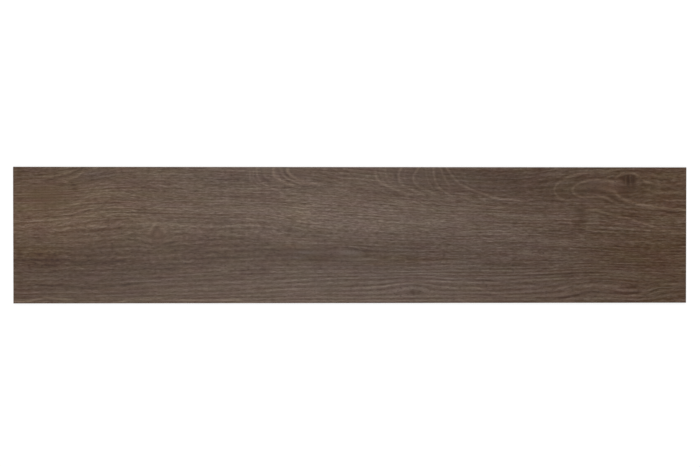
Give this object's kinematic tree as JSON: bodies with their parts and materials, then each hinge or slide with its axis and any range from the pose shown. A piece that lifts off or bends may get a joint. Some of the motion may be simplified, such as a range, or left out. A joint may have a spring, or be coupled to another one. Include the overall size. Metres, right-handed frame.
{
  "type": "luxury vinyl tile",
  "caption": "Flat wood-look luxury vinyl plank with square corners, laid flat and glued or loose-laid edge to edge as a floor finish.",
  "frame": {"origin": "middle of the underside, on the floor that the plank is laid on", "axes": "+X along the plank's length, +Y across its width, +Z out of the wear face"},
  "size_m": [0.915, 0.185, 0.0025],
  "materials": {
    "printed_vinyl": "dark brown oak grain printed under a clear matt wear layer with a wood-grain emboss"
  },
  "bodies": {
    "root": {"vinyl_plank": "printed_vinyl"}
  },
  "joints": []
}
